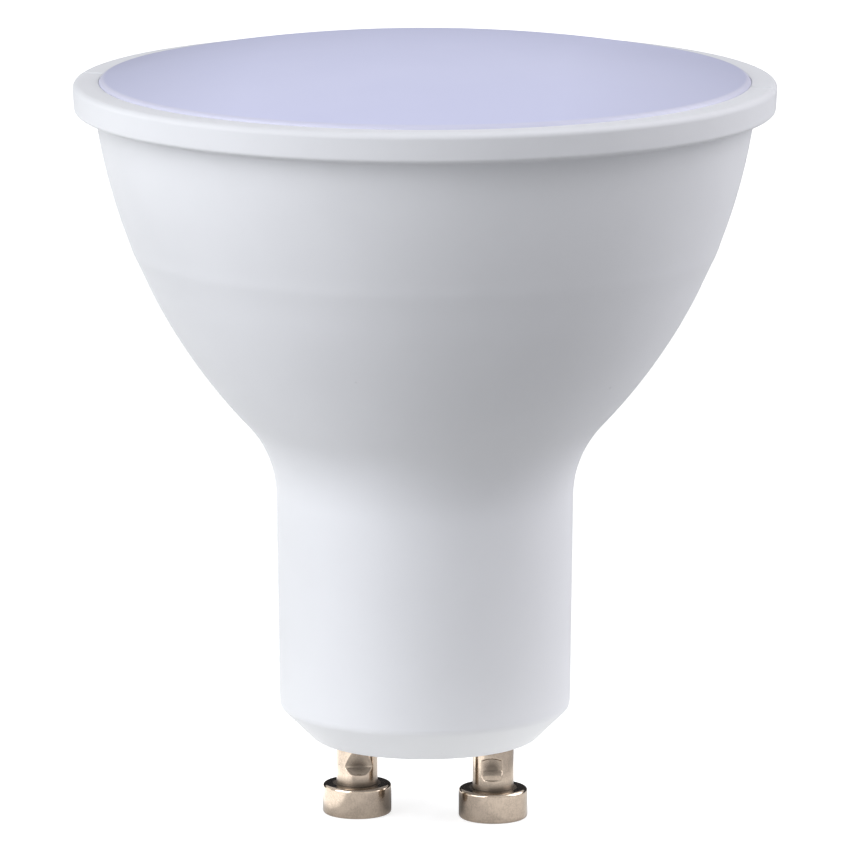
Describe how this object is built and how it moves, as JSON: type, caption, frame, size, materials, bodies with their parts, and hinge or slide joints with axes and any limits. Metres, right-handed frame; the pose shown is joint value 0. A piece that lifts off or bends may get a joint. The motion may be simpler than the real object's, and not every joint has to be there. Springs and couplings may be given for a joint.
{
  "type": "gu10 spotlight bulb",
  "caption": "Reflector-shaped plug-in LED spotlight lamp: white bell on a round neck, flat rim, domed milky cover and two mushroom-headed twist-lock pins.",
  "frame": {"origin": "between the flat ends of the two pins, on the lamp's axis", "axes": "+Z from the pins to the light-giving face, pins on X, crimp marks facing -Y"},
  "size_m": [0.0504, 0.0504, 0.0567],
  "materials": {
    "housing_plastic": "white moulded plastic, satin",
    "diffuser_plastic": "milky plastic, semi-gloss",
    "pin_nickel": "nickel-plated brass, bright",
    "drawn_aluminium": "drawn sheet, mill finish",
    "board_aluminium": "white solder mask on aluminium",
    "screw_steel": "zinc-plated",
    "board_laminate": "green glass-fibre laminate",
    "can_sleeve": "dark shrink sleeve on a can",
    "resistor_body": "lacquered ceramic",
    "chip_case": "black moulding compound",
    "live_insulation": "red wire insulation",
    "neutral_insulation": "black wire insulation",
    "ferrite": "sintered ferrite",
    "copper": "enamelled copper wire",
    "chip_phosphor": "white package with a yellow window"
  },
  "bodies": {
    "root": {"housing": "housing_plastic", "diffuser": "diffuser_plastic", "contact_pin_left": "pin_nickel", "contact_pin_right": "pin_nickel", "heat_spreader": "drawn_aluminium", "light_board": "board_aluminium", "board_screws": "screw_steel", "driver_board": "board_laminate", "input_capacitor": "can_sleeve", "output_capacitor": "can_sleeve", "fuse_resistor": "resistor_body", "bridge_rectifier": "chip_case", "driver_chip": "chip_case", "freewheel_diode": "chip_case", "live_lead": "live_insulation", "neutral_lead": "neutral_insulation", "light_lead_plus": "live_insulation", "light_lead_minus": "neutral_insulation", "choke_core": "ferrite", "choke_winding": "copper", "light_chip_1": "chip_phosphor", "light_chip_2": "chip_phosphor", "light_chip_3": "chip_phosphor", "light_chip_4": "chip_phosphor", "light_chip_5": "chip_phosphor", "light_chip_6": "chip_phosphor", "light_chip_7": "chip_phosphor", "light_chip_8": "chip_phosphor"}
  },
  "joints": []
}
